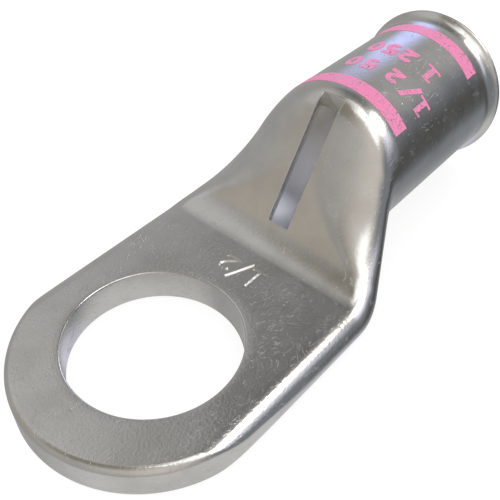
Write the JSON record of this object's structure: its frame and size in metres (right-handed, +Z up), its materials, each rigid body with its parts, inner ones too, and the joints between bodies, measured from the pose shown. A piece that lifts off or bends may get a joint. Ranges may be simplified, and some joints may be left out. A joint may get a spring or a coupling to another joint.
{
  "type": "copper cable lug",
  "caption": "Tinned copper ring terminal: a round, bell-mouthed barrel for crimping a cable, pressed flat into a palm with a stud hole.",
  "frame": {"origin": "centre of the stud hole on the palm's underside", "axes": "+X along the lug from the palm to the barrel's mouth, +Y across the palm, +Z up through the stud hole, away from the surface the palm is bolted to"},
  "size_m": [0.0486, 0.021, 0.0146],
  "materials": {
    "tinned_copper": "satin tin plate with fine scratches",
    "pink_ink": "thin printed ink, scuffed"
  },
  "bodies": {
    "root": {"lug": "tinned_copper", "size_bands": "pink_ink"}
  },
  "joints": []
}
